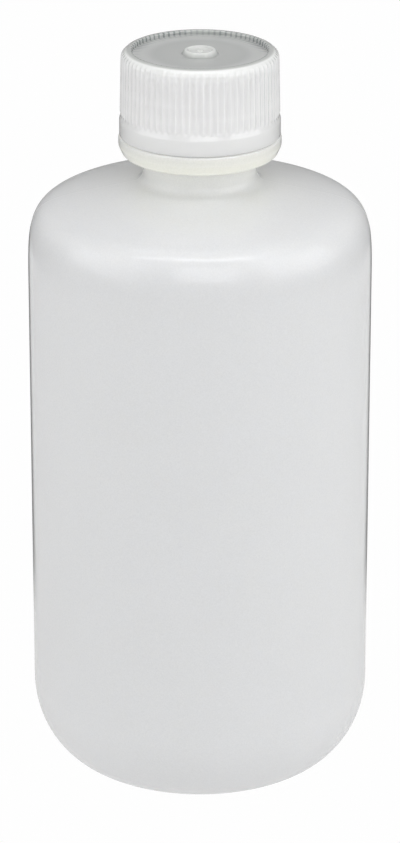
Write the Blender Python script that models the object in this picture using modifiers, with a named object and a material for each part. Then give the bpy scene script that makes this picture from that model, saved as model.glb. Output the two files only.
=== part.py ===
"""One-litre narrow-mouth laboratory bottle with a ribbed screw cap and a loose sealing disc.

Everything turns about the Z axis. The origin is the centre of the foot ring, on the surface that the bottle
stands on, and +Z points up through the neck. The cap is shown screwed down. Units are metres.
"""

import math

import bmesh
import bpy
from mathutils import Matrix, Vector

# Body of the bottle
BODY_RADIUS = 0.0455
HEEL_HEIGHT = 0.0230
HEEL_REACH = 0.0184
WALL_HEIGHT = 0.1151
BODY_WALL = 0.0014
FOOT_WIDTH = 0.0030
PUSH_UP = 0.0030
BASE_WALL = 0.0020

# Shoulder: a curve whose two handles are shares of its own rise and reach, then a straight cone to the neck
SHOULDER_RISE = 0.0241
SHOULDER_REACH = 0.0170
SIDE_PULL = 0.82
TOP_PULL = 0.95
CONE_ANGLE = math.radians(12.1)

# Neck
NECK_BORE_RADIUS = 0.0130
STUB_WALL = 0.0019
STUB_HEIGHT = 0.0071
STUB_FILLET = 0.0030
COLLAR_HEIGHT = 0.00505
COLLAR_TAPER = 0.0012
COLLAR_ROUND = 0.0012
FINISH_WALL = 0.00435
FINISH_HEIGHT = 0.01852
LIP_ROUND = 0.0005

# Right-hand screw thread, shared by the neck and the cap
THREAD_PITCH = 0.0254 / 6
THREAD_DEPTH = 0.0012
THREAD_TURNS = 1.75
THREAD_BASE_WIDTH = 0.0023
THREAD_CREST_WIDTH = 0.0009
THREAD_DROP = 0.0030
THREAD_RUNOUT = math.radians(25)
THREAD_RADIAL_CLEARANCE = 0.0004
THREAD_FLANK_CLEARANCE = 0.00035
THREAD_ROOTING = 0.0004

# Cap
SEAT_GAP = 0.0003
CAP_WALL = 0.00130
CAP_LIP_HEIGHT = 0.00418
CAP_LIP_FLARE = 0.00047
CAP_FLARE_HEIGHT = 0.0018
CAP_TAPER = 0.00039
CAP_TOP_ROUND = 0.00198
CAP_RIM_WIDTH = 0.00257
PANEL_THICKNESS = 0.0017
PANEL_RECESS = 0.0013
CORNER_ROUND = 0.0004
COLLAR_PROUD = 0.0002

# Raised gate mark in the middle of the cap's panel
NUB_RADIUS = 0.0048
NUB_TOP_RADIUS = 0.0040
NUB_HEIGHT = 0.00125
NUB_DISH_RADIUS = 0.0029
NUB_DISH_DEPTH = 0.0006
GATE_RADIUS = 0.0007
GATE_HEIGHT = 0.00035

# Ribs round the cap, left standing between grooves
RIB_COUNT = 72
RIB_HEIGHT = 0.00045
GROOVE_WIDTH = 0.0010

# Sealing disc
DISC_THICKNESS = 0.0010
DISC_SIDE_CLEARANCE = 0.00065
DISC_ROUND = 0.0002

# Facets of the turned surfaces
BODY_SEGMENTS = 44
CAP_SEGMENTS = RIB_COUNT
DISC_SEGMENTS = 44
CURVE_STEPS = 8
CORNER_STEPS = 2
SMOOTH_ANGLE = math.radians(32)

# Heights that follow from the sizes above
WALL_TOP = HEEL_HEIGHT + WALL_HEIGHT
STUB_RADIUS = NECK_BORE_RADIUS + STUB_WALL
CONE_TOP_RADIUS = BODY_RADIUS - SHOULDER_REACH
CONE_TOP = WALL_TOP + SHOULDER_RISE
STUB_FOOT = CONE_TOP + (CONE_TOP_RADIUS - STUB_RADIUS) * math.tan(CONE_ANGLE)
COLLAR_FOOT = STUB_FOOT + STUB_HEIGHT
COLLAR_TOP = COLLAR_FOOT + COLLAR_HEIGHT
LIP = COLLAR_TOP + FINISH_HEIGHT
CAP_FOOT = COLLAR_TOP + SEAT_GAP
DISC_FOOT = LIP + SEAT_GAP
PANEL_UNDERSIDE = DISC_FOOT + DISC_THICKNESS + SEAT_GAP
PANEL_FACE = PANEL_UNDERSIDE + PANEL_THICKNESS
CAP_TOP = PANEL_FACE + PANEL_RECESS

# Radii that follow from the sizes above
FINISH_RADIUS = NECK_BORE_RADIUS + FINISH_WALL
NECK_THREAD_CREST = FINISH_RADIUS + THREAD_DEPTH
CAP_THREAD_CREST = FINISH_RADIUS + THREAD_RADIAL_CLEARANCE
CAP_BORE_RADIUS = NECK_THREAD_CREST + THREAD_RADIAL_CLEARANCE
CAP_FOOT_RADIUS = CAP_BORE_RADIUS + CAP_WALL + RIB_HEIGHT
CAP_TOP_RADIUS = CAP_FOOT_RADIUS - CAP_TAPER
CAP_LIP_RADIUS = CAP_FOOT_RADIUS + CAP_LIP_FLARE
COLLAR_RADIUS = CAP_LIP_RADIUS + COLLAR_PROUD
PANEL_RADIUS = CAP_TOP_RADIUS - CAP_RIM_WIDTH
DISC_RADIUS = CAP_BORE_RADIUS - DISC_SIDE_CLEARANCE


def clear_scene():
    """Removes every object and leftover collection."""
    for obj in list(bpy.data.objects):
        bpy.data.objects.remove(obj, do_unlink=True)
    for collection in list(bpy.data.collections):
        bpy.data.collections.remove(collection)


def new_collection(name):
    collection = bpy.data.collections.new(name)
    bpy.context.scene.collection.children.link(collection)
    return collection


def plastic(name, colour, roughness):
    """A moulded plastic: its own colour and roughness, no metal."""
    material = bpy.data.materials.new(name)
    material.use_nodes = True
    shader = material.node_tree.nodes["Principled BSDF"]
    shader.inputs["Base Color"].default_value = (*colour, 1.0)
    shader.inputs["Roughness"].default_value = roughness
    shader.inputs["Metallic"].default_value = 0.0
    return material


def rounded(corners):
    """The outline through corners (radius, height, rounding), with an arc in place of each rounded corner."""
    outline = []
    for index, (radius, height, rounding) in enumerate(corners):
        corner = Vector((radius, height))
        if rounding == 0:
            outline.append(corner)
            continue
        before = (Vector(corners[index - 1][:2]) - corner).normalized()
        after = (Vector(corners[index + 1][:2]) - corner).normalized()
        half_angle = before.angle(after) / 2
        centre = corner + (before + after).normalized() * (rounding / math.sin(half_angle))
        start = corner + before * (rounding / math.tan(half_angle)) - centre
        sweep = start.angle_signed(corner + after * (rounding / math.tan(half_angle)) - centre)
        for step in range(CORNER_STEPS + 1):
            turn = Matrix.Rotation(-sweep * step / CORNER_STEPS, 2)
            outline.append(centre + turn @ start)
    return outline


def shoulder_curve():
    """The shoulder from the cone's foot down to the straight wall, a cubic curve tangent to both."""
    along_cone = Vector((math.cos(CONE_ANGLE), -math.sin(CONE_ANGLE)))
    start = Vector((CONE_TOP_RADIUS, CONE_TOP))
    start_handle = start + along_cone * (TOP_PULL * SHOULDER_REACH / math.cos(CONE_ANGLE))
    end = Vector((BODY_RADIUS, WALL_TOP))
    end_handle = end + Vector((0, SIDE_PULL * SHOULDER_RISE))
    points = []
    for step in range(CURVE_STEPS + 1):
        t = step / CURVE_STEPS
        rest = 1 - t
        points.append(
            start * rest**3
            + start_handle * (3 * rest**2 * t)
            + end_handle * (3 * rest * t**2)
            + end * t**3
        )
    return points


def heel_curve():
    """The heel from the straight wall down to the foot ring, a quarter of an ellipse."""
    points = []
    for step in range(CURVE_STEPS + 1):
        angle = math.pi / 2 * step / CURVE_STEPS
        radius = BODY_RADIUS - HEEL_REACH * (1 - math.cos(angle))
        points.append(Vector((radius, HEEL_HEIGHT * (1 - math.sin(angle)))))
    return points


def push_up_curve():
    """The hollow of the base, from the foot ring's inner edge to the axis: a half wave."""
    foot_inner = BODY_RADIUS - HEEL_REACH - FOOT_WIDTH
    points = []
    for step in range(CURVE_STEPS // 2 + 1):
        share = step / (CURVE_STEPS // 2)
        height = PUSH_UP * (1 - math.cos(math.pi * share)) / 2
        points.append(Vector((foot_inner * (1 - share), height)))
    return points


def inset(points, depth):
    """The same curve moved inwards, square to itself; the points run down the outer side."""
    moved = []
    for index, point in enumerate(points):
        ahead = points[min(index + 1, len(points) - 1)]
        behind = points[max(index - 1, 0)]
        along = (ahead - behind).normalized()
        moved.append(point + Vector((along.y, -along.x)) * depth)
    return moved


def neck_outline():
    """The outer side of the neck, from the lip's bore edge down to where it meets the shoulder's cone."""
    return rounded(
        [
            (NECK_BORE_RADIUS, LIP - FINISH_HEIGHT / 2, 0),
            (NECK_BORE_RADIUS, LIP, LIP_ROUND),
            (FINISH_RADIUS, LIP, LIP_ROUND),
            (FINISH_RADIUS, COLLAR_TOP, LIP_ROUND),
            (COLLAR_RADIUS, COLLAR_TOP, COLLAR_ROUND),
            (COLLAR_RADIUS, COLLAR_FOOT + COLLAR_HEIGHT / 2, COLLAR_ROUND),
            (COLLAR_RADIUS - COLLAR_TAPER, COLLAR_FOOT, COLLAR_ROUND),
            (STUB_RADIUS, COLLAR_FOOT, COLLAR_ROUND),
            (STUB_RADIUS, STUB_FOOT, STUB_FILLET),
            (CONE_TOP_RADIUS, CONE_TOP, 0),
        ]
    )


def bottle_outline():
    """The whole section of the bottle: up the inside from the axis, over the lip and down the outside."""
    body = shoulder_curve()[1:] + heel_curve()
    inner_body = inset(shoulder_curve(), BODY_WALL) + inset(heel_curve(), BODY_WALL)
    floor = [Vector((0, PUSH_UP + BASE_WALL))]
    floor += [point + Vector((0, BASE_WALL)) for point in reversed(push_up_curve()[1:-1])]
    throat = STUB_FOOT - BODY_WALL - STUB_FILLET
    inside = floor + list(reversed(inner_body[:-1])) + [Vector((NECK_BORE_RADIUS, throat + STUB_FILLET))]
    return inside + neck_outline() + body + push_up_curve()


def cap_outline():
    """The whole section of the cap, measured up from its own foot: out over the panel, down, and up inside."""
    face = PANEL_FACE - CAP_FOOT
    top = CAP_TOP - CAP_FOOT
    underside = PANEL_UNDERSIDE - CAP_FOOT
    nub_top = face + NUB_HEIGHT
    dish = nub_top - NUB_DISH_DEPTH
    return rounded(
        [
            (0, dish + GATE_HEIGHT, 0),
            (GATE_RADIUS, dish + GATE_HEIGHT, 0),
            (GATE_RADIUS, dish, 0),
            (NUB_DISH_RADIUS, dish, 0),
            (NUB_DISH_RADIUS + NUB_DISH_DEPTH, nub_top, 0),
            (NUB_TOP_RADIUS, nub_top, 0),
            (NUB_RADIUS, face, 0),
            (PANEL_RADIUS, face, CORNER_ROUND),
            (PANEL_RADIUS, top, CORNER_ROUND),
            (CAP_TOP_RADIUS, top, CAP_TOP_ROUND),
            (CAP_FOOT_RADIUS, CAP_LIP_HEIGHT + CAP_FLARE_HEIGHT, 0),
            (CAP_LIP_RADIUS, CAP_LIP_HEIGHT, 0),
            (CAP_LIP_RADIUS, 0, CORNER_ROUND),
            (CAP_BORE_RADIUS, 0, CORNER_ROUND),
            (CAP_BORE_RADIUS, underside, CORNER_ROUND),
            (0, underside, 0),
        ]
    )


def disc_outline():
    """The section of the sealing disc, measured up from its own lower face."""
    return rounded(
        [
            (0, DISC_THICKNESS, 0),
            (DISC_RADIUS, DISC_THICKNESS, DISC_ROUND),
            (DISC_RADIUS, 0, DISC_ROUND),
            (0, 0, 0),
        ]
    )


def turned(name, outline, segments, collection):
    """A solid of revolution about Z: the outline as a wire, carried round by a Screw modifier."""
    mesh = bpy.data.meshes.new(name)
    wire = [(point.x, 0, point.y) for point in outline]
    mesh.from_pydata(wire, [(i, i + 1) for i in range(len(wire) - 1)], [])
    obj = bpy.data.objects.new(name, mesh)
    collection.objects.link(obj)
    screw = obj.modifiers.new("turn", "SCREW")
    screw.axis = "Z"
    screw.angle = 2 * math.pi
    screw.steps = segments
    screw.render_steps = segments
    screw.use_merge_vertices = True
    screw.merge_threshold = 0.00001
    return obj


def thread_ridge(name, root, crest, height, segments, guides):
    """A helical ridge from its root radius to its crest radius, sinking back to the root at both ends.

    Its centre line starts at the given height on the +X side and climbs one pitch a turn. Each section is a
    trapezium whose wide side is rooted in the wall.
    """
    steps = round(THREAD_TURNS * segments)
    bury = math.copysign(THREAD_ROOTING, root - crest)
    solid = bmesh.new()
    sections = []
    for step in range(steps + 1):
        angle = 2 * math.pi * step / segments
        from_end = min(angle, 2 * math.pi * steps / segments - angle)
        share = min(1, from_end / THREAD_RUNOUT)
        centre = height + THREAD_PITCH * angle / (2 * math.pi)
        tip = root + bury / 2 + (crest - root - bury / 2) * math.sin(share * math.pi / 2)
        trapezium = [
            (root + bury, -THREAD_BASE_WIDTH / 2),
            (tip, -THREAD_CREST_WIDTH / 2),
            (tip, THREAD_CREST_WIDTH / 2),
            (root + bury, THREAD_BASE_WIDTH / 2),
        ]
        spoke = Vector((math.cos(angle), math.sin(angle), 0))
        sections.append([solid.verts.new(spoke * r + Vector((0, 0, centre + z))) for r, z in trapezium])
    for first, second in zip(sections, sections[1:]):
        for i in range(4):
            j = (i + 1) % 4
            solid.faces.new((first[i], first[j], second[j], second[i]))
    solid.faces.new(reversed(sections[0]))
    solid.faces.new(sections[-1])
    bmesh.ops.recalc_face_normals(solid, faces=solid.faces)
    return helper(name, solid, guides)


def groove_cutters(name, guides):
    """One three-sided bar for each gap between two ribs, leaning with the cap's taper."""
    foot = CAP_LIP_HEIGHT + CAP_FLARE_HEIGHT
    rise = CAP_TOP - CAP_FOOT - CAP_TOP_ROUND - foot
    lean = Matrix.Rotation(-math.atan2(CAP_TAPER, rise), 4, "Y")
    length = 2 * (CAP_TOP - CAP_FOOT - foot)
    half = Matrix.Rotation(math.pi / RIB_COUNT, 4, "Z")
    solid = bmesh.new()
    for rib in range(RIB_COUNT):
        around = Matrix.Rotation(2 * math.pi * rib / RIB_COUNT, 4, "Z")
        place = around @ half @ Matrix.Translation((CAP_FOOT_RADIUS, 0, foot)) @ lean
        corners = [(-RIB_HEIGHT, 0), (RIB_HEIGHT, -GROOVE_WIDTH), (RIB_HEIGHT, GROOVE_WIDTH)]
        low = [solid.verts.new(place @ Vector((x, y, 0))) for x, y in corners]
        high = [solid.verts.new(place @ Vector((x, y, length))) for x, y in corners]
        for i in range(3):
            j = (i + 1) % 3
            solid.faces.new((low[i], low[j], high[j], high[i]))
        solid.faces.new(reversed(low))
        solid.faces.new(high)
    bmesh.ops.recalc_face_normals(solid, faces=solid.faces)
    return helper(name, solid, guides)


def helper(name, solid, guides):
    """A hidden object that shapes another one."""
    mesh = bpy.data.meshes.new(name)
    solid.to_mesh(mesh)
    solid.free()
    obj = bpy.data.objects.new(name, mesh)
    obj.hide_render = True
    obj.display_type = "WIRE"
    guides.objects.link(obj)
    return obj


def combine(obj, other, operation):
    """Adds the other object to this one, or cuts it away, with the exact solver."""
    boolean = obj.modifiers.new(operation.lower(), "BOOLEAN")
    boolean.operation = operation
    boolean.solver = "EXACT"
    boolean.object = other


def place(obj, height, parent=None):
    """Puts an object on the Z axis at this height above its parent, or above the floor."""
    obj.location = (0, 0, height)
    obj.parent = parent


def finish(obj, material):
    """Turns the modifiers into the object's own mesh, shaded smooth with its sharp edges kept."""
    graph = bpy.context.evaluated_depsgraph_get()
    mesh = bpy.data.meshes.new_from_object(obj.evaluated_get(graph))
    obj.modifiers.clear()
    obj.data = mesh
    mesh.name = obj.name
    mesh.shade_smooth()
    mesh.set_sharp_from_angle(angle=SMOOTH_ANGLE)
    mesh.materials.clear()
    mesh.materials.append(material)


def build_bottle(collection, guides):
    bottle = turned("bottle", bottle_outline(), BODY_SEGMENTS, collection)
    thread_top = LIP - THREAD_DROP
    thread = thread_ridge(
        "bottle_thread",
        FINISH_RADIUS,
        NECK_THREAD_CREST,
        thread_top - THREAD_PITCH * THREAD_TURNS,
        BODY_SEGMENTS,
        guides,
    )
    combine(bottle, thread, "UNION")
    finish(bottle, plastic("natural_polyethylene", (0.80, 0.81, 0.78), 0.42))


def flank_spacing():
    """How far the cap's ridge lies below the neck's, centre to centre, with the flank clearance between them."""
    slope = (THREAD_BASE_WIDTH - THREAD_CREST_WIDTH) / 2 / THREAD_DEPTH
    overlap = THREAD_DEPTH - THREAD_RADIAL_CLEARANCE
    widths = THREAD_CREST_WIDTH + slope * overlap
    return widths + THREAD_FLANK_CLEARANCE * math.hypot(1, slope)


def build_cap(collection, guides, axis):
    cap = turned("cap", cap_outline(), CAP_SEGMENTS, collection)
    place(cap, 0, axis)
    neck_thread_foot = LIP - THREAD_DROP - THREAD_PITCH * THREAD_TURNS
    thread = thread_ridge(
        "cap_thread",
        CAP_BORE_RADIUS,
        CAP_THREAD_CREST,
        neck_thread_foot - flank_spacing() - CAP_FOOT,
        CAP_SEGMENTS,
        guides,
    )
    place(thread, 0, axis)
    grooves = groove_cutters("cap_grooves", guides)
    place(grooves, 0, axis)
    bpy.context.view_layer.update()
    combine(cap, thread, "UNION")
    combine(cap, grooves, "DIFFERENCE")
    finish(cap, plastic("natural_polypropylene", (0.82, 0.83, 0.81), 0.30))


def build_disc(collection, axis):
    disc = turned("sealing_disc", disc_outline(), DISC_SEGMENTS, collection)
    place(disc, DISC_FOOT - CAP_FOOT, axis)
    finish(disc, plastic("natural_liner_polyethylene", (0.84, 0.85, 0.83), 0.38))


def screw_axis(collection):
    """The empty that carries what screws off: it stands on the axis at the cap's foot."""
    axis = bpy.data.objects.new("screw_axis", None)
    collection.objects.link(axis)
    place(axis, CAP_FOOT)
    return axis


def main():
    clear_scene()
    collection = new_collection("reagent_bottle")
    guides = new_collection("guides")
    build_bottle(collection, guides)
    axis = screw_axis(collection)
    build_cap(collection, guides, axis)
    build_disc(collection, axis)


main()
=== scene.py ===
"""Looks of a one-litre laboratory bottle in natural plastic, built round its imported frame."""

import math

import bpy
import numpy as np
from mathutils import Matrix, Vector


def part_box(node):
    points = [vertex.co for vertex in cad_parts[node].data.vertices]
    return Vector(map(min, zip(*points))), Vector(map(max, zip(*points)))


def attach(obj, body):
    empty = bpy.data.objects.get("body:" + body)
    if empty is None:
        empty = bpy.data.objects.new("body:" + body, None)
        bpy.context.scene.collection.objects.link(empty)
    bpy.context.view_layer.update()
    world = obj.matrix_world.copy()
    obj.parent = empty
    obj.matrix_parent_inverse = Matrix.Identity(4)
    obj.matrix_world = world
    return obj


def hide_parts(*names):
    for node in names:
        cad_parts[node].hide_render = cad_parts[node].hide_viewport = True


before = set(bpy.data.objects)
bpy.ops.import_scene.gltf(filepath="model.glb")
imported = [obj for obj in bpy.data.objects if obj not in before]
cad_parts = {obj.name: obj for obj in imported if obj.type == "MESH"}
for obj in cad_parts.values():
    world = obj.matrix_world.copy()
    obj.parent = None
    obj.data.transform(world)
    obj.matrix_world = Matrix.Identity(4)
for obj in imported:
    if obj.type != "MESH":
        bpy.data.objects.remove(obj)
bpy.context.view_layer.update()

# --------------------------------------------------------------------------------------------------
# Sizes, in metres and radians. Overall ones are read from the frame, and the rest are the shape's own.

bottle_low, bottle_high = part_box("bottle")
cap_low, cap_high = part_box("cap")
disc_low, disc_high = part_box("sealing_disc")

BODY_RADIUS = bottle_high.x
LIP = bottle_high.z
CAP_FOOT = cap_low.z
CAP_TOP = cap_high.z
CAP_LIP_RADIUS = cap_high.x
DISC_FOOT = disc_low.z
DISC_TOP = disc_high.z
DISC_RADIUS = disc_high.x

# Body
HEEL_HEIGHT = 0.0230
HEEL_REACH = 0.0184
WALL_TOP = 0.1381
BODY_WALL = 0.0014
FOOT_WIDTH = 0.0030
PUSH_UP = 0.0030
BASE_WALL = 0.0020
SHOULDER_RISE = 0.0241
SHOULDER_REACH = 0.0170
SIDE_PULL = 0.82
TOP_PULL = 0.95
CONE_ANGLE = math.radians(12.1)

# Neck
NECK_BORE_RADIUS = 0.0130
THROAT_ROUND = 0.0022
STUB_RADIUS = 0.0149
STUB_FILLET = 0.0030
FINISH_RADIUS = 0.01735
FINISH_HEIGHT = 0.01852
COLLAR_TOP = LIP - FINISH_HEIGHT + 0.00015
COLLAR_HEIGHT = 0.0052
COLLAR_FOOT = COLLAR_TOP - COLLAR_HEIGHT
COLLAR_RADIUS = CAP_LIP_RADIUS + 0.0002
COLLAR_TAPER = 0.0012
COLLAR_ROUND = 0.0012
COLLAR_TOP_ROUND = 0.0006
LIP_ROUND = 0.0005

# Screw thread, shared by the neck and the cap
THREAD_PITCH = 0.0254 / 6
THREAD_DEPTH = 0.0012
THREAD_TURNS = 1.75
THREAD_BASE_WIDTH = 0.0023
THREAD_CREST_WIDTH = 0.0009
THREAD_RUNOUT = math.radians(25)
NECK_THREAD_FOOT = LIP - 0.0030 - THREAD_PITCH * THREAD_TURNS
CAP_THREAD_FOOT = NECK_THREAD_FOOT - 0.00177

# Cap
CAP_BORE_RADIUS = FINISH_RADIUS + THREAD_DEPTH + 0.0004
CAP_FLARE = 0.00047
CAP_FOOT_RADIUS = CAP_LIP_RADIUS - CAP_FLARE
CAP_TAPER = 0.00039
CAP_TOP_RADIUS = CAP_FOOT_RADIUS - CAP_TAPER
CAP_LIP_TOP = CAP_FOOT + 0.00418
CAP_FLARE_TOP = CAP_LIP_TOP + 0.0018
CAP_TOP_ROUND = 0.00198
CAP_FLARE_ROUND = 0.0020
CAP_LIP_ROUND = 0.0010
CAP_RIM_WIDTH = 0.00257
PANEL_RADIUS = CAP_TOP_RADIUS - CAP_RIM_WIDTH
PANEL_FACE = CAP_TOP - 0.0013
PANEL_UNDERSIDE = PANEL_FACE - 0.0017
CORNER_ROUND = 0.0004
FOOT_ROUND = 0.0002
RIB_COUNT = 72
RIB_HEIGHT = 0.0003
RIB_SHARPNESS = 1.6
RIB_FOOT = CAP_FLARE_TOP - 0.0004
RIB_FOOT_FADE = 0.0008
NUB_RADIUS = 0.0048
NUB_TOP_RADIUS = 0.0040
NUB_HEIGHT = 0.00125
NUB_ROUND = 0.0003
NUB_DISH_RADIUS = 0.0033
NUB_DISH_FLOOR_RADIUS = 0.0029
NUB_DISH_DEPTH = 0.0006
NUB_DISH_ROUND = 0.0002
GATE_RADIUS = 0.0007
GATE_FOOT_RADIUS = 0.0009
GATE_HEIGHT = 0.00035
GATE_ROUND = 0.00015

# Sealing disc
DISC_ROUND = 0.0002
PRESSED_RADIUS = (NECK_BORE_RADIUS + FINISH_RADIUS) / 2
PRESSED_WIDTH = 0.0018
PRESSED_DEPTH = 0.00008

# Marks of moulding on the bottle: two lines, which fade out near the axis and at the foot
SEAM_HEIGHT = 0.00006
SEAM_HALF_WIDTH = math.radians(0.35)
SEAM_INNER_RADIUS = 0.008
SEAM_RADIUS_FADE = 0.006
SEAM_FOOT_FADE = 0.002

# Fineness of the meshes: the longest step along an outline, the most turning in a step, columns round, and
# how close counts as touching
LONG_STEP = 0.004
SHORT_STEP = 0.0012
FINISH_STEP = 0.00016
BORE_STEP = 0.00036
DISC_STEP = 0.0005
FINE_TURN = math.radians(9)
COARSE_TURN = math.radians(18)
BOTTLE_COLUMNS = 200
RIB_COLUMNS = 8
DISC_COLUMNS = 160
TOUCHING = 1e-6

# Tints of the cap's top at each radius, all painted light and shade: painted shade where the dark bore and
# the neck show through the clear top, darkest over the bore and paler over the neck's rim and on the solid
# nub, then a painted highlight line along the top edge with painted shade just outside it
CAP_TOP_PAINTED_LIGHT = (
    (0.0040, (0.71, 0.72, 0.705)),
    (0.0050, (0.235, 0.255, 0.24)),
    (0.0124, (0.205, 0.225, 0.215)),
    (0.0134, (0.31, 0.33, 0.32)),
    (0.0158, (0.40, 0.42, 0.41)),
    (0.0176, (0.45, 0.465, 0.455)),
    (0.0188, (0.47, 0.48, 0.47)),
    (0.0193, (0.58, 0.59, 0.58)),
    (0.01955, (0.93, 0.94, 0.93)),
    (0.0198, (0.95, 0.96, 0.95)),
    (0.0200, (0.80, 0.81, 0.80)),
    (0.0203, (0.76, 0.765, 0.76)),
)

# Painted shade of the ribs seen through the clear rim: dark dashes at the ribs' inner ends, in a ring round
# the recess, stronger and wider towards some angles
RIB_SHADE_TINT = (0.10, 0.12, 0.13)
RIB_SHADE_INNER_RADIUS = 0.0160
RIB_SHADE_INNER_FADE = 0.0012
RIB_SHADE_OUTER_RADIUS = 0.0184
RIB_SHADE_OUTER_FADE = 0.0004
RIB_SHADE_STRENGTH = 0.5
RIB_SHADE_DRIFT = 0.3
STRONG_RIB_SHADE_AT = np.radians((26, 157, 205))
STRONG_RIB_SHADE_WIDTH = 0.38
STRONG_RIB_SHADE_REACH = 0.0014
STRONG_RIB_SHADE_EXTRA = 0.45

# Where the top's tints begin, and what darkens or lightens the cap's sides, as a share of full brightness:
# the sides' even darker tone, painted shade on the flare and in a band just below the top edge, painted light
# where the inner thread shows through the side, and a row of painted glints between the ribs below the top
# edge
TOP_TINT_FOOT = CAP_TOP - 0.0018
TOP_TINT_FADE = 0.0009
SIDE_DARKER = 0.035
FLARE_PAINTED_SHADE = 0.10
EDGE_PAINTED_SHADE = 0.15
EDGE_HEIGHT = CAP_TOP - 0.0014
EDGE_WIDTH = 0.0012
THREAD_PAINTED_LIGHT = 0.02
GLINT_PALER = 0.03
GLINT_HEIGHT = CAP_TOP - 0.0044
GLINT_WIDTH = 0.0011
# Painted shade on the sealing disc where the dark bore lies under it
DISC_BORE_PAINTED_SHADE = 0.13
TINT_FADE = 0.001

# Tints of the bottle at each height: a little paler and warmer on the shoulder, the paleness painted light
# against the shade under the cap, deeper and warmer on the solid collar, and pale where the collar's top lies
# close under the cap, painted light where shade falls in the gap
NECK_TINT_AND_PAINTED_LIGHT = (
    (WALL_TOP + 0.009, (1.0, 1.0, 1.0)),
    (WALL_TOP + 0.015, (1.035, 1.04, 1.02)),
    (WALL_TOP + 0.022, (1.055, 1.06, 1.03)),
    (COLLAR_FOOT - 0.0015, (1.0, 1.005, 0.965)),
    (COLLAR_FOOT + 0.0005, (0.84, 0.845, 0.815)),
    (COLLAR_TOP - 0.0012, (0.82, 0.825, 0.80)),
    (COLLAR_TOP - 0.0002, (0.94, 0.945, 0.925)),
    (COLLAR_TOP, (1.0, 1.0, 1.0)),
)


# --------------------------------------------------------------------------------------------------
# Outlines: arrays of (radius, height)


def rounded(corners, turn_step=FINE_TURN):
    """An outline through corners (radius, height, rounding): each rounded corner becomes a circular arc that
    touches both of its sides, with a point at least every turn_step of turning."""
    points = []
    for index, (radius, height, rounding) in enumerate(corners):
        corner = np.array((radius, height))
        if rounding == 0:
            points.append(corner[None])
            continue
        before = np.array(corners[index - 1][:2]) - corner
        after = np.array(corners[index + 1][:2]) - corner
        before = before / np.linalg.norm(before)
        after = after / np.linalg.norm(after)
        half_angle = math.acos(np.clip(before @ after, -1, 1)) / 2
        bisector = (before + after) / np.linalg.norm(before + after)
        centre = corner + bisector * rounding / math.sin(half_angle)
        sweep = math.pi - 2 * half_angle
        share = np.linspace(-1, 1, max(2, math.ceil(sweep / turn_step) + 1))[:, None]
        side = (after - before) / np.linalg.norm(after - before)
        turn = share * sweep / 2
        points.append(centre - bisector * rounding * np.cos(turn) + side * rounding * np.sin(turn))
    return np.concatenate(points)


def filled(points, spacing):
    """The same outline with points added evenly along every stretch longer than the spacing."""
    pieces = []
    for start, end in zip(points, points[1:]):
        count = max(1, math.ceil(np.linalg.norm(end - start) / spacing))
        pieces.append(start + (end - start) * (np.arange(count) / count)[:, None])
    return np.concatenate(pieces + [points[-1:]])


def normals(points):
    """The unit normal at each point of an outline, to the right of its direction of travel: from each
    neighbour before to each neighbour after, turned a quarter turn clockwise."""
    along = np.gradient(points, axis=0)
    along = along / np.linalg.norm(along, axis=1)[:, None]
    return np.stack((along[:, 1], -along[:, 0]), axis=1)


def shoulder_curve(count):
    """A cubic curve from the cone's edge, along the cone at first, to the top of the straight wall, upright
    at the end."""
    t = np.linspace(0, 1, count)[:, None]
    start = np.array((BODY_RADIUS - SHOULDER_REACH, WALL_TOP + SHOULDER_RISE))
    first = start + TOP_PULL * SHOULDER_REACH * np.array((1, -math.tan(CONE_ANGLE)))
    end = np.array((BODY_RADIUS, WALL_TOP))
    second = end + np.array((0, SIDE_PULL * SHOULDER_RISE))
    towards_first = 3 * (1 - t) ** 2 * t
    towards_second = 3 * (1 - t) * t**2
    return start * (1 - t) ** 3 + first * towards_first + second * towards_second + end * t**3


def heel_curve(count):
    """A quarter of an ellipse from the straight wall in to the foot ring."""
    angle = np.linspace(0, math.pi / 2, count)
    radius = BODY_RADIUS - HEEL_REACH * (1 - np.cos(angle))
    return np.stack((radius, HEEL_HEIGHT * (1 - np.sin(angle))), axis=1)


def push_up_curve(count):
    """Half a cosine wave from the foot ring's inner edge up to the axis."""
    share = np.linspace(0, 1, count)
    foot_inner = BODY_RADIUS - HEEL_REACH - FOOT_WIDTH
    return np.stack((foot_inner * (1 - share), PUSH_UP * (1 - np.cos(math.pi * share)) / 2), axis=1)


# --------------------------------------------------------------------------------------------------
# Surfaces of revolution with relief


def around(count, extra=()):
    """Angles round the axis, even, with extra ones put in."""
    even = np.arange(count) * (2 * math.pi / count)
    return np.unique(np.round(np.concatenate((even, np.mod(extra, 2 * math.pi))), 6))


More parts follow.
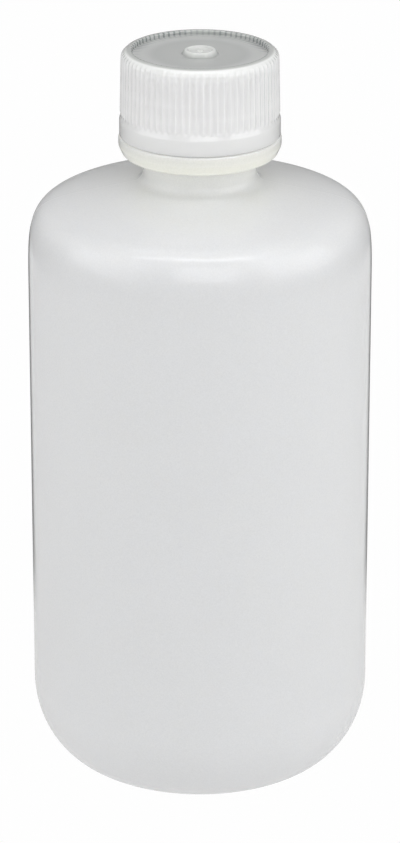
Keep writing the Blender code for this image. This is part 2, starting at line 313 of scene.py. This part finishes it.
def revolve(name, radius, height, angles, tint_and_painted_light):
    """A closed surface from two grids, one row a ring and one column an angle. Each point is at its radius
    and height on the half plane of its angle. The first and last rows lie on the axis and become single
    poles. The rows follow the outline with the plastic on their right, which turns the faces outwards. tint
    is a grid of colours, painted light and shade along with the piece's own tone, kept on the points for the
    material to multiply by."""
    rings, columns = radius.shape
    body = radius[1:-1]
    x = body * np.cos(angles)
    y = body * np.sin(angles)
    points = np.stack((x, y, height[1:-1]), axis=2).reshape(-1, 3)
    poles = np.array(((0, 0, height[0, 0]), (0, 0, height[-1, 0])))
    points = np.concatenate((points, poles))
    grid = np.arange((rings - 2) * columns).reshape(rings - 2, columns)
    ahead = np.roll(grid, -1, axis=1)
    quads = np.stack((grid[:-1], grid[1:], ahead[1:], ahead[:-1]), axis=2).reshape(-1, 4)
    first, last = len(points) - 2, len(points) - 1
    start_fan = np.stack((np.full(columns, first), grid[0], ahead[0]), axis=1)
    end_fan = np.stack((np.full(columns, last), ahead[-1], grid[-1]), axis=1)
    piece = mesh_piece(name, points, quads, np.concatenate((start_fan, end_fan)))
    colours = np.concatenate((tint_and_painted_light[1:-1].reshape(-1, 3), tint_and_painted_light[0, :1], tint_and_painted_light[-1, :1]))
    colours = np.concatenate((colours, np.ones((len(colours), 1))), axis=1).astype(np.float32)
    piece.data.attributes.new("tint_and_painted_light", "FLOAT_COLOR", "POINT").data.foreach_set("color", colours.ravel())
    return piece


def mesh_piece(name, points, quads, triangles):
    """A mesh object at the origin from arrays of points, four-sided faces and three-sided faces."""
    mesh = bpy.data.meshes.new(name)
    corners = np.concatenate((quads.ravel(), triangles.ravel())).astype(np.int32)
    sizes = np.concatenate((np.full(len(quads), 4), np.full(len(triangles), 3)))
    starts = np.concatenate(((0,), np.cumsum(sizes)[:-1])).astype(np.int32)
    mesh.vertices.add(len(points))
    mesh.vertices.foreach_set("co", points.astype(np.float32).ravel())
    mesh.loops.add(len(corners))
    mesh.loops.foreach_set("vertex_index", corners)
    mesh.polygons.add(len(sizes))
    mesh.polygons.foreach_set("loop_start", starts)
    mesh.polygons.foreach_set("use_smooth", np.ones(len(sizes), bool))
    mesh.update(calc_edges=True)
    mesh.validate()
    obj = bpy.data.objects.new(name, mesh)
    bpy.context.scene.collection.objects.link(obj)
    return obj


def colour_along(values, table):
    """A colour at each value, from a table of (value, colour) rows in rising order."""
    knots = [row[0] for row in table]
    channels = zip(*(row[1] for row in table))
    return np.stack([np.interp(values, knots, channel) for channel in channels], axis=-1)


def hump(values, middle, width):
    """A bell curve: 1 at the middle, and e to the minus square of the distance from it, counted in widths."""
    return np.exp(-(((values - middle) / width) ** 2))


def smooth_step(x):
    """0 below 0, 1 above 1, and 3x2 - 2x3 between."""
    x = np.clip(x, 0, 1)
    return x * x * (3 - 2 * x)


def thread_relief(angles, height, foot):
    """How far the thread stands out at each angle and height. Its centre line starts at the foot at angle 0
    and climbs one pitch a turn. Across the line the ridge is full within its crest and falls to nothing at
    its base with an S-shaped flank; along the line it grows from nothing over the run-out at each end."""
    relief = np.zeros(np.broadcast(angles, height).shape)
    last = THREAD_TURNS * 2 * math.pi
    for turn in range(math.ceil(THREAD_TURNS)):
        travelled = angles + 2 * math.pi * turn
        from_line = np.abs(height - foot - THREAD_PITCH * travelled / (2 * math.pi))
        flank = (THREAD_BASE_WIDTH / 2 - from_line) / ((THREAD_BASE_WIDTH - THREAD_CREST_WIDTH) / 2)
        from_end = np.minimum(travelled, last - travelled) / THREAD_RUNOUT
        run_out = np.sin(np.clip(from_end, 0, 1) * math.pi / 2)
        relief = np.maximum(relief, smooth_step(flank) * run_out)
    return THREAD_DEPTH * relief


def make_bottle():
    """The bottle: its section, up the inside and down the outside, carried round the axis. The neck's thread
    and the two lines where the mould's halves met are added to the outside's radius."""
    outer_body = np.concatenate((shoulder_curve(46)[1:], filled(heel_curve(30), LONG_STEP)))
    inner_shoulder = shoulder_curve(30)
    inner_heel = heel_curve(24)
    inner_shoulder = inner_shoulder + normals(inner_shoulder) * BODY_WALL
    inner_heel = inner_heel + normals(inner_heel) * BODY_WALL
    cone_slope = math.tan(CONE_ANGLE)
    cone_edge = inner_shoulder[0]
    throat = cone_edge[1] + (cone_edge[0] - NECK_BORE_RADIUS) * cone_slope
    floor = push_up_curve(14)[1:-1] + np.array((0, BASE_WALL))
    bore = rounded([(*cone_edge, 0), (NECK_BORE_RADIUS, throat, THROAT_ROUND), (NECK_BORE_RADIUS, LIP, 0)])
    inside = np.concatenate(
        (
            np.array(((0, PUSH_UP + BASE_WALL),)),
            floor[::-1],
            inner_heel[::-1][1:],
            inner_shoulder[::-1],
            bore[1:-1],
        )
    )
    stub_foot = WALL_TOP + SHOULDER_RISE + (BODY_RADIUS - SHOULDER_REACH - STUB_RADIUS) * cone_slope
    lip = rounded(
        [
            (NECK_BORE_RADIUS, COLLAR_TOP, 0),
            (NECK_BORE_RADIUS, LIP, LIP_ROUND),
            (FINISH_RADIUS, LIP, LIP_ROUND),
            (FINISH_RADIUS, COLLAR_TOP, LIP_ROUND),
            (COLLAR_RADIUS, COLLAR_TOP, 0),
        ]
    )[1:-1]
    collar = rounded(
        [
            (FINISH_RADIUS, COLLAR_TOP, 0),
            (COLLAR_RADIUS, COLLAR_TOP, COLLAR_TOP_ROUND),
            (COLLAR_RADIUS, COLLAR_FOOT + COLLAR_HEIGHT / 2, COLLAR_ROUND),
            (COLLAR_RADIUS - COLLAR_TAPER, COLLAR_FOOT, COLLAR_ROUND),
            (STUB_RADIUS, COLLAR_FOOT, COLLAR_ROUND),
            (STUB_RADIUS, stub_foot, STUB_FILLET),
            (BODY_RADIUS - SHOULDER_REACH, WALL_TOP + SHOULDER_RISE, 0),
        ]
    )[1:]
    inside = filled(inside, LONG_STEP)
    neck = np.concatenate((filled(lip, FINISH_STEP), filled(collar, SHORT_STEP)))
    section = np.concatenate((inside, neck, outer_body, push_up_curve(16)))
    outside = (np.arange(len(section)) >= len(inside))[:, None]
    radius, height = section[:, :1], section[:, 1:]
    angles = around(BOTTLE_COLUMNS, seam_angles())
    on_finish = outside & (height > COLLAR_TOP + LIP_ROUND) & (height < LIP - LIP_ROUND)
    radii = radius + thread_relief(angles[None], height, NECK_THREAD_FOOT) * on_finish
    heights = height + 0 * radii
    radii = radii + seam_relief(radius, height, angles) * outside
    # The tints by height carry painted light on the shoulder and at the collar's top
    return revolve("bottle_body", radii, heights, angles, colour_along(heights, NECK_TINT_AND_PAINTED_LIGHT))


def seam_angles():
    """Angles that crowd round the two mould lines, at 0 and half a turn."""
    after = np.radians((0.15, 0.3, 0.5, 0.75, 1.1, 1.6))
    near = np.concatenate((-after, (0,), after))
    return np.concatenate((near, near + math.pi))


def seam_relief(radius, height, angles):
    """How far the two mould lines stand out: a bell curve across each line, one even width wherever the line
    runs, full on the body and nothing near the axis and at the foot."""
    from_seam = np.abs(np.mod(angles + math.pi / 2, math.pi) - math.pi / 2)[None]
    across = hump(from_seam * radius / BODY_RADIUS, 0, SEAM_HALF_WIDTH)
    off_axis = smooth_step((radius - SEAM_INNER_RADIUS) / SEAM_RADIUS_FADE)
    return SEAM_HEIGHT * across * off_axis * smooth_step(height / SEAM_FOOT_FADE)


def cap_outline():
    """The cap's section from the middle of its top, down the outside and up the bore to the middle of its
    underside, with close rows in the bore for the thread. Also the row at which the bore starts."""
    dish = PANEL_FACE + NUB_HEIGHT - NUB_DISH_DEPTH
    nub_top = dish + NUB_DISH_DEPTH
    corners = [
        (0, dish + GATE_HEIGHT, 0),
        (GATE_RADIUS, dish + GATE_HEIGHT, GATE_ROUND),
        (GATE_FOOT_RADIUS, dish, GATE_ROUND),
        (NUB_DISH_FLOOR_RADIUS, dish, NUB_ROUND),
        (NUB_DISH_RADIUS, nub_top, NUB_DISH_ROUND),
        (NUB_TOP_RADIUS, nub_top, NUB_ROUND),
        (NUB_RADIUS, PANEL_FACE, NUB_ROUND),
        (PANEL_RADIUS, PANEL_FACE, CORNER_ROUND),
        (PANEL_RADIUS, CAP_TOP, CORNER_ROUND),
        (CAP_TOP_RADIUS, CAP_TOP, CAP_TOP_ROUND),
        (CAP_FOOT_RADIUS, CAP_FLARE_TOP, CAP_FLARE_ROUND),
        (CAP_LIP_RADIUS, CAP_LIP_TOP, CAP_LIP_ROUND),
        (CAP_LIP_RADIUS, CAP_FOOT, FOOT_ROUND),
        (CAP_BORE_RADIUS, CAP_FOOT, CORNER_ROUND),
        (CAP_BORE_RADIUS, PANEL_UNDERSIDE, CORNER_ROUND),
        (0, PANEL_UNDERSIDE, 0),
    ]
    section = filled(rounded(corners, COARSE_TURN), SHORT_STEP)
    start, end = np.flatnonzero(np.isclose(section[:, 0], CAP_BORE_RADIUS, rtol=0, atol=TOUCHING))[[0, -1]]
    bore = filled(section[[start, end]], BORE_STEP)
    return np.concatenate((section[:start], bore, section[end + 1 :])), start


def rib_profile(angles):
    """0 between the ribs and 1 on their crests: one cosine wave a rib, narrowed by a power."""
    return (0.5 - 0.5 * np.cos(RIB_COUNT * angles))[None] ** RIB_SHARPNESS


def make_cap():
    """The cap: its section carried round the axis, with the ribs added square to the outline and the inner
    thread taken from the bore. A rib stands on the wall and fades out round the top edge and at the flare."""
    section, bore_start = cap_outline()
    radius, height = section[:, :1], section[:, 1:]
    angles = around(RIB_COUNT * RIB_COLUMNS)
    inwards = normals(section)
    outside = (np.arange(len(section)) < bore_start)[:, None]
    wall_share = (height - CAP_FLARE_TOP) / (CAP_TOP - CAP_TOP_ROUND - CAP_FLARE_TOP)
    wall_radius = CAP_FOOT_RADIUS - CAP_TAPER * np.clip(wall_share, 0, 1.2)
    round_edge = np.clip(wall_radius - radius, 0, None)
    above_flare = smooth_step((height - RIB_FOOT) / RIB_FOOT_FADE)
    rib = rib_profile(angles)
    relief = np.clip(RIB_HEIGHT * rib - round_edge, 0, None) * above_flare * outside
    in_bore = ~outside & (height > CAP_FOOT + CORNER_ROUND) & (radius > CAP_BORE_RADIUS - TOUCHING)
    thread = thread_relief(angles[None], height, CAP_THREAD_FOOT) * in_bore
    radii = radius - inwards[:, :1] * relief - thread
    heights = height - inwards[:, 1:] * relief
    tint_and_painted_light = cap_tint_and_painted_light(radius, height, angles, rib, outside)
    return revolve("cap_shell", radii, heights, angles, tint_and_painted_light)


def cap_tint_and_painted_light(radius, height, angles, rib, outside):
    """The cap's tints, painted light and shade for the most part: those of its top, carried over into those
    of its sides just below the rim. The sides get an even darker tone, painted shade on the flare and just
    below the top edge, painted light over the inner thread, and painted glints between the ribs.
    """
    on_top = smooth_step((height - TOP_TINT_FOOT) / TOP_TINT_FADE) * outside
    # Painted shade of the ribs seen through the clear rim, laid over the top's painted tints
    rib_shade = painted_rib_shade(radius, angles, rib)[..., None]
    top = colour_along(radius + 0 * angles, CAP_TOP_PAINTED_LIGHT) * (1 - rib_shade) + np.array(RIB_SHADE_TINT) * rib_shade
    glint = hump(height, GLINT_HEIGHT, GLINT_WIDTH) * np.clip(1 - 2 * rib, 0, 1)
    thread = thread_relief(angles[None], height, CAP_THREAD_FOOT) / THREAD_DEPTH
    flare = smooth_step((CAP_FLARE_TOP - height) / TINT_FADE)
    darker = SIDE_DARKER + FLARE_PAINTED_SHADE * flare + EDGE_PAINTED_SHADE * hump(height, EDGE_HEIGHT, EDGE_WIDTH)
    side = 1 - outside * (darker - GLINT_PALER * glint - THREAD_PAINTED_LIGHT * thread)
    return on_top[..., None] * top + (1 - on_top[..., None]) * side[..., None]


def painted_rib_shade(radius, angles, rib):
    """How strong the painted shade of the ribs seen through the clear rim is: dark dashes on the ribs'
    crests, within a ring round the recess. Their strength drifts round the cap as the product of two sine
    waves, and rises in a hump at each strong angle, where the ring is also wider."""
    strong = sum(hump(angles, angle, STRONG_RIB_SHADE_WIDTH) for angle in STRONG_RIB_SHADE_AT)
    inner_edge = RIB_SHADE_INNER_RADIUS - STRONG_RIB_SHADE_REACH * strong
    past_inner = smooth_step((radius - inner_edge) / RIB_SHADE_INNER_FADE)
    within_outer = smooth_step((RIB_SHADE_OUTER_RADIUS - radius) / RIB_SHADE_OUTER_FADE)
    drift = RIB_SHADE_DRIFT * np.sin(2.0 * angles + 1.1) * np.sin(5.0 * angles + 0.4)
    strength = np.clip(RIB_SHADE_STRENGTH + drift + STRONG_RIB_SHADE_EXTRA * strong, 0, 1)
    on_crest = np.clip(2.4 * rib - 1.0, 0, 1)
    return past_inner * within_outer * on_crest * strength


def make_disc():
    """The sealing disc: a thin round plate, its underside raised a little in a ring where the lip has pressed
    it, and darker over the bore, a painted shade of the dark bore under it."""
    corners = [
        (0, DISC_TOP, 0),
        (DISC_RADIUS, DISC_TOP, DISC_ROUND),
        (DISC_RADIUS, DISC_FOOT, DISC_ROUND),
        (0, DISC_FOOT, 0),
    ]
    section = filled(rounded(corners), DISC_STEP)
    angles = around(DISC_COLUMNS)
    radius, height = section[:, :1], section[:, 1:]
    underside = height < (DISC_FOOT + DISC_TOP) / 2
    pressed = PRESSED_DEPTH * hump(radius, PRESSED_RADIUS, PRESSED_WIDTH) * underside
    heights = height + pressed + 0 * angles
    over_bore = smooth_step((NECK_BORE_RADIUS - radius) / TINT_FADE)
    tint_and_painted_light = 1 - DISC_BORE_PAINTED_SHADE * over_bore + 0 * heights
    return revolve("liner_disc", radius + 0 * heights, heights, angles, np.repeat(tint_and_painted_light[..., None], 3, axis=2))


# --------------------------------------------------------------------------------------------------
# Materials

# Shares of grain in the skin's height, and of slow drift in its tone
GRAIN_SHARE = 0.25
DRIFT_SHARE = 0.35


def socket(tree, name, way, value=None):
    """Adds an input or output for a number to a node group, with its value where it has one."""
    made = tree.interface.new_socket(name=name, in_out=way, socket_type="NodeSocketFloat")
    if value is not None:
        made.default_value = value
    return made


def moulded_group():
    """The skin of moulded plastic. Height is soft orange peel plus a share of fine grain; Tone is the grain
    plus a share of a slower unevenness; Shine is the peel. Each is around a half."""
    tree = bpy.data.node_groups.new("moulded_skin", "ShaderNodeTree")
    socket(tree, "Peel Scale", "INPUT", 300.0)
    socket(tree, "Grain Scale", "INPUT", 3000.0)
    socket(tree, "Tone Scale", "INPUT", 30.0)
    socket(tree, "Height", "OUTPUT")
    socket(tree, "Tone", "OUTPUT")
    socket(tree, "Shine", "OUTPUT")
    enter = tree.nodes.new("NodeGroupInput")
    leave = tree.nodes.new("NodeGroupOutput")
    place = tree.nodes.new("ShaderNodeTexCoord")
    noises = {}
    for scale, detail in (("Peel Scale", 2), ("Grain Scale", 3), ("Tone Scale", 3)):
        noise = tree.nodes.new("ShaderNodeTexNoise")
        noise.inputs["Detail"].default_value = detail
        tree.links.new(place.outputs["Object"], noise.inputs["Vector"])
        tree.links.new(enter.outputs[scale], noise.inputs["Scale"])
        noises[scale] = noise.outputs["Fac"]
    peel, grain, tone = noises["Peel Scale"], noises["Grain Scale"], noises["Tone Scale"]
    tree.links.new(math_node(tree, "MULTIPLY_ADD", grain, GRAIN_SHARE, peel), leave.inputs["Height"])
    drift = math_node(tree, "MULTIPLY_ADD", tone, DRIFT_SHARE, -DRIFT_SHARE / 2)
    tree.links.new(math_node(tree, "ADD", drift, grain), leave.inputs["Tone"])
    tree.links.new(peel, leave.inputs["Shine"])
    return tree


def natural_plastic(name, group, dark, light, finish):
    """An uncoloured plastic that lets light through. Its tone drifts between dark and light, times the tint
    kept on the piece's points, which holds painted light and shade as well as the piece's own tone; its
    roughness drifts with the peel, and the same skin dents it. finish holds the constants."""
    material = bpy.data.materials.new(name)
    material.use_nodes = True
    tree = material.node_tree
    shader = tree.nodes["Principled BSDF"]
    skin = tree.nodes.new("ShaderNodeGroup")
    skin.node_tree = group
    for key in ("Peel Scale", "Grain Scale", "Tone Scale"):
        skin.inputs[key].default_value = finish[key]
    tone = tree.nodes.new("ShaderNodeMix")
    tone.data_type = "RGBA"
    tone.inputs["A"].default_value = (*dark, 1)
    tone.inputs["B"].default_value = (*light, 1)
    tree.links.new(skin.outputs["Tone"], tone.inputs["Factor"])
    tint_and_painted_light = tree.nodes.new("ShaderNodeAttribute")
    tint_and_painted_light.attribute_name = "tint_and_painted_light"
    tinted = tree.nodes.new("ShaderNodeMix")
    tinted.data_type = "RGBA"
    tinted.blend_type = "MULTIPLY"
    tinted.inputs["Factor"].default_value = 1.0
    tree.links.new(tone.outputs["Result"], tinted.inputs["A"])
    tree.links.new(tint_and_painted_light.outputs["Color"], tinted.inputs["B"])
    tree.links.new(tinted.outputs["Result"], shader.inputs["Base Color"])
    shine = tree.nodes.new("ShaderNodeMapRange")
    shine.inputs["To Min"].default_value = finish["roughness"][0]
    shine.inputs["To Max"].default_value = finish["roughness"][1]
    tree.links.new(skin.outputs["Shine"], shine.inputs["Value"])
    tree.links.new(shine.outputs["Result"], shader.inputs["Roughness"])
    bump = tree.nodes.new("ShaderNodeBump")
    bump.inputs["Strength"].default_value = finish["bump"]
    bump.inputs["Distance"].default_value = finish["bump_height"]
    tree.links.new(skin.outputs["Height"], bump.inputs["Height"])
    tree.links.new(bump.outputs["Normal"], shader.inputs["Normal"])
    shader.inputs["IOR"].default_value = finish["ior"]
    shader.inputs["Subsurface Weight"].default_value = finish["scatter"]
    shader.inputs["Subsurface Radius"].default_value = finish["scatter_colour"]
    shader.inputs["Subsurface Scale"].default_value = finish["scatter_depth"]
    shader.inputs["Transmission Weight"].default_value = finish["clear"]
    shader.inputs["Coat Weight"].default_value = finish["skin"]
    shader.inputs["Coat Roughness"].default_value = finish["skin_roughness"]
    shader.inputs["Coat IOR"].default_value = finish["skin_ior"]
    return material


def bottle_plastic(group):
    """Natural high-density polyethylene: milky, satin, faintly warm."""
    return natural_plastic(
        "milky_polyethylene",
        group,
        (0.853, 0.850, 0.823),
        (1.0, 0.997, 0.967),
        {
            "Peel Scale": 260.0,
            "Grain Scale": 2600.0,
            "Tone Scale": 28.0,
            "roughness": (0.36, 0.46),
            "bump": 0.25,
            "bump_height": 0.00006,
            "ior": 1.50,
            "scatter": 1.0,
            "scatter_colour": (1.0, 0.97, 0.92),
            "scatter_depth": 0.005,
            "clear": 0.0,
            "skin": 1.0,
            "skin_roughness": 0.12,
            "skin_ior": 1.50,
        },
    )


def cap_plastic(group):
    """Natural polypropylene: clearer, cooler and glossier than the bottle."""
    return natural_plastic(
        "clear_polypropylene",
        group,
        (0.95, 0.955, 0.955),
        (0.98, 0.985, 0.98),
        {
            "Peel Scale": 420.0,
            "Grain Scale": 3600.0,
            "Tone Scale": 380.0,
            "roughness": (0.14, 0.22),
            "bump": 0.2,
            "bump_height": 0.00004,
            "ior": 1.49,
            "scatter": 1.0,
            "scatter_colour": (1.0, 1.0, 0.97),
            "scatter_depth": 0.003,
            "clear": 0.06,
            "skin": 1.0,
            "skin_roughness": 0.05,
            "skin_ior": 1.60,
        },
    )


def disc_plastic(group):
    """Natural low-density polyethylene: soft and milky."""
    return natural_plastic(
        "liner_polyethylene",
        group,
        (0.88, 0.885, 0.87),
        (0.92, 0.92, 0.91),
        {
            "Peel Scale": 500.0,
            "Grain Scale": 4000.0,
            "Tone Scale": 90.0,
            "roughness": (0.40, 0.50),
            "bump": 0.2,
            "bump_height": 0.00004,
            "ior": 1.50,
            "scatter": 1.0,
            "scatter_colour": (1.0, 0.98, 0.95),
            "scatter_depth": 0.003,
            "clear": 0.0,
            "skin": 0.0,
            "skin_roughness": 0.2,
            "skin_ior": 1.50,
        },
    )


# --------------------------------------------------------------------------------------------------
# Stage, lights and camera

# How brightly the floor glows to the camera, to scattered light, in gloss (close, in the wedge and far out),
# and through clear plastic
FLOOR_SIZE = 12.0
FLOOR_GLOW = {
    "Camera": 0.992,
    "Diffuse": 0.825,
    "Glossy": 0.70,
    "Wedge": 0.0,
    "Far": 0.30,
    "Transmission": 0.10,
}
WEDGE_ANGLE = math.radians(16)
WEDGE_EDGE = (0.04, 0.08)
WEDGE_START = (0.06, 0.16)
FAR_EDGE = (0.46, 0.56)

# The room's glow rises from the first height's to the second's, as (height on a unit sphere, brightness)
ROOM_LOW = (-0.02, 0.30)
ROOM_HIGH = (0.35, 0.537)

# Lamps: name, place, width and length, and power in watts
LAMP_AIM = (0, 0, 0.1)
SOFT_BOXES = (
    ("overhead_box", (0, -0.25, 1.5), (1.6, 1.2), 3.5),
    ("strip_box", (0, -0.52, 1.35), (1.8, 0.08), 3.0),
    ("left_box", (-1.9, -0.7, 0.8), (2.2, 2.0), 12.0),
    ("right_box", (1.9, -0.7, 0.8), (2.2, 2.0), 16.2),
    ("front_box", (0.2, -2.3, 1.0), (1.8, 1.6), 12.0),
)
CAMERA_PITCH = math.radians(21.384)
CAMERA_DISTANCE = 1.0991
CAMERA_AIM = 0.09642
FOCAL_LENGTH = 174.4


def make_floor():
    """A wide flat floor of glowing material. The camera sees it nearly white, and it lights the bottle evenly
    from below. In the bottle's gloss it shows dark in a wedge behind the bottle, bright beside it, and dimmer
    far out. The wedge is where Y is past its start and the distance aside is less than Y times the tangent
    of its angle."""
    half = FLOOR_SIZE / 2
    corners = half * np.array(((-1, -1, 0), (1, -1, 0), (1, 1, 0), (-1, 1, 0)))
    floor = mesh_piece("floor", corners, np.arange(4)[None], np.zeros((0, 3), int))
    material = bpy.data.materials.new("pale_floor")
    material.use_nodes = True
    tree = material.node_tree
    glow = tree.nodes.new("ShaderNodeEmission")
    tree.links.new(glow.outputs[0], tree.nodes["Material Output"].inputs["Surface"])
    place = tree.nodes.new("ShaderNodeTexCoord")
    parts = tree.nodes.new("ShaderNodeSeparateXYZ")
    tree.links.new(place.outputs["Object"], parts.inputs[0])
    aside = math_node(tree, "ABSOLUTE", parts.outputs["X"])
    beyond = math_node(tree, "MULTIPLY_ADD", parts.outputs["Y"], -math.tan(WEDGE_ANGLE), aside)
    bright = map_range(tree, beyond, WEDGE_EDGE, (0, 1))
    near = map_range(tree, parts.outputs["Y"], WEDGE_START, (1, 0))
    either = math_node(tree, "MAXIMUM", bright, near)
    around_foot = map_range(tree, either, (0, 1), (FLOOR_GLOW["Wedge"], FLOOR_GLOW["Glossy"]))
    reach = tree.nodes.new("ShaderNodeVectorMath")
    reach.operation = "LENGTH"
    tree.links.new(place.outputs["Object"], reach.inputs[0])
    far = map_range(tree, reach.outputs["Value"], FAR_EDGE, (0, 1))
    mirrored = blend(tree, far, around_foot, FLOOR_GLOW["Far"])
    seen = tree.nodes.new("ShaderNodeLightPath")
    scattered = math_node(tree, "GREATER_THAN", seen.outputs["Diffuse Depth"], 0.5)
    level = FLOOR_GLOW["Diffuse"]
    for factor, value in (
        (seen.outputs["Is Glossy Ray"], mirrored),
        (seen.outputs["Is Transmission Ray"], FLOOR_GLOW["Transmission"]),
        (scattered, FLOOR_GLOW["Diffuse"]),
        (seen.outputs["Is Camera Ray"], FLOOR_GLOW["Camera"]),
    ):
        level = blend(tree, factor, level, value)
    tree.links.new(level, glow.inputs["Strength"])
    floor.data.materials.append(material)


def math_node(tree, operation, *values):
    """A math node of this operation on the values, each a number or another node's output."""
    node = tree.nodes.new("ShaderNodeMath")
    node.operation = operation
    for entry, value in zip(node.inputs, values):
        feed(tree, entry, value)
    return node.outputs[0]


def feed(tree, entry, value):
    """Sets an input to a number, or links it to an output."""
    if isinstance(value, (int, float)):
        entry.default_value = value
    else:
        tree.links.new(value, entry)


def blend(tree, factor, first, second):
    """The first value where the factor is 0, and the second where it is 1."""
    mix = tree.nodes.new("ShaderNodeMix")
    tree.links.new(factor, mix.inputs["Factor"])
    feed(tree, mix.inputs["A"], first)
    feed(tree, mix.inputs["B"], second)
    return mix.outputs["Result"]


def map_range(tree, value, source, target):
    """The value carried from one range to another along an S-curve, held at its ends."""
    node = tree.nodes.new("ShaderNodeMapRange")
    node.interpolation_type = "SMOOTHSTEP"
    tree.links.new(value, node.inputs["Value"])
    node.inputs["From Min"].default_value, node.inputs["From Max"].default_value = source
    node.inputs["To Min"].default_value, node.inputs["To Max"].default_value = target
    return node.outputs["Result"]


def soft_box(name, place, size, power):
    """A soft rectangular lamp at a place, turned to face the bottle's middle and hidden from the camera."""
    data = bpy.data.lights.new(name, "AREA")
    data.shape = "RECTANGLE"
    data.size, data.size_y = size
    data.energy = power
    lamp = bpy.data.objects.new(name, data)
    lamp.visible_camera = False
    lamp.location = place
    lamp.rotation_euler = (Vector(LAMP_AIM) - Vector(place)).to_track_quat("-Z", "Y").to_euler()
    bpy.context.scene.collection.objects.link(lamp)


def make_lights():
    """A pale room, brighter overhead than at the horizon, with a soft box and a strip overhead, a soft box at
    each side and one in front."""
    world = bpy.data.worlds.new("room")
    world.use_nodes = True
    tree = world.node_tree
    background = tree.nodes["Background"]
    background.inputs["Color"].default_value = (1.0, 1.0, 0.995, 1)
    way = tree.nodes.new("ShaderNodeTexCoord")
    parts = tree.nodes.new("ShaderNodeSeparateXYZ")
    tree.links.new(way.outputs["Generated"], parts.inputs[0])
    rise = map_range(tree, parts.outputs["Z"], (ROOM_LOW[0], ROOM_HIGH[0]), (ROOM_LOW[1], ROOM_HIGH[1]))
    seen = tree.nodes.new("ShaderNodeLightPath")
    level = blend(tree, seen.outputs["Is Camera Ray"], rise, FLOOR_GLOW["Camera"])
    tree.links.new(level, background.inputs["Strength"])
    bpy.context.scene.world = world
    for name, place, size, power in SOFT_BOXES:
        soft_box(name, place, size, power)


def make_camera():
    """A long lens, looking down on the bottle, with its axis through the bottle's."""
    data = bpy.data.cameras.new("camera")
    data.sensor_width = 36.0
    data.lens = FOCAL_LENGTH
    data.clip_end = 50.0
    camera = bpy.data.objects.new("camera", data)
    back = CAMERA_DISTANCE * math.cos(CAMERA_PITCH)
    up = CAMERA_DISTANCE * math.sin(CAMERA_PITCH)
    camera.location = (0, -back, CAMERA_AIM + up)
    camera.rotation_euler = (math.pi / 2 - CAMERA_PITCH, 0, 0)
    bpy.context.scene.collection.objects.link(camera)
    bpy.context.scene.camera = camera


def dress(piece, node, body, material):
    """Puts a piece in the place of its frame node, riding on that node's body, in its finish."""
    piece.data.materials.append(material)
    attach(piece, body)
    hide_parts(node)


def main():
    bpy.context.scene.view_settings.view_transform = "Standard"
    make_floor()
    make_lights()
    make_camera()
    skin = moulded_group()
    dress(make_bottle(), "bottle", "bottle", bottle_plastic(skin))
    dress(make_cap(), "cap", "cap", cap_plastic(skin))
    dress(make_disc(), "sealing_disc", "sealing_disc", disc_plastic(skin))


main()
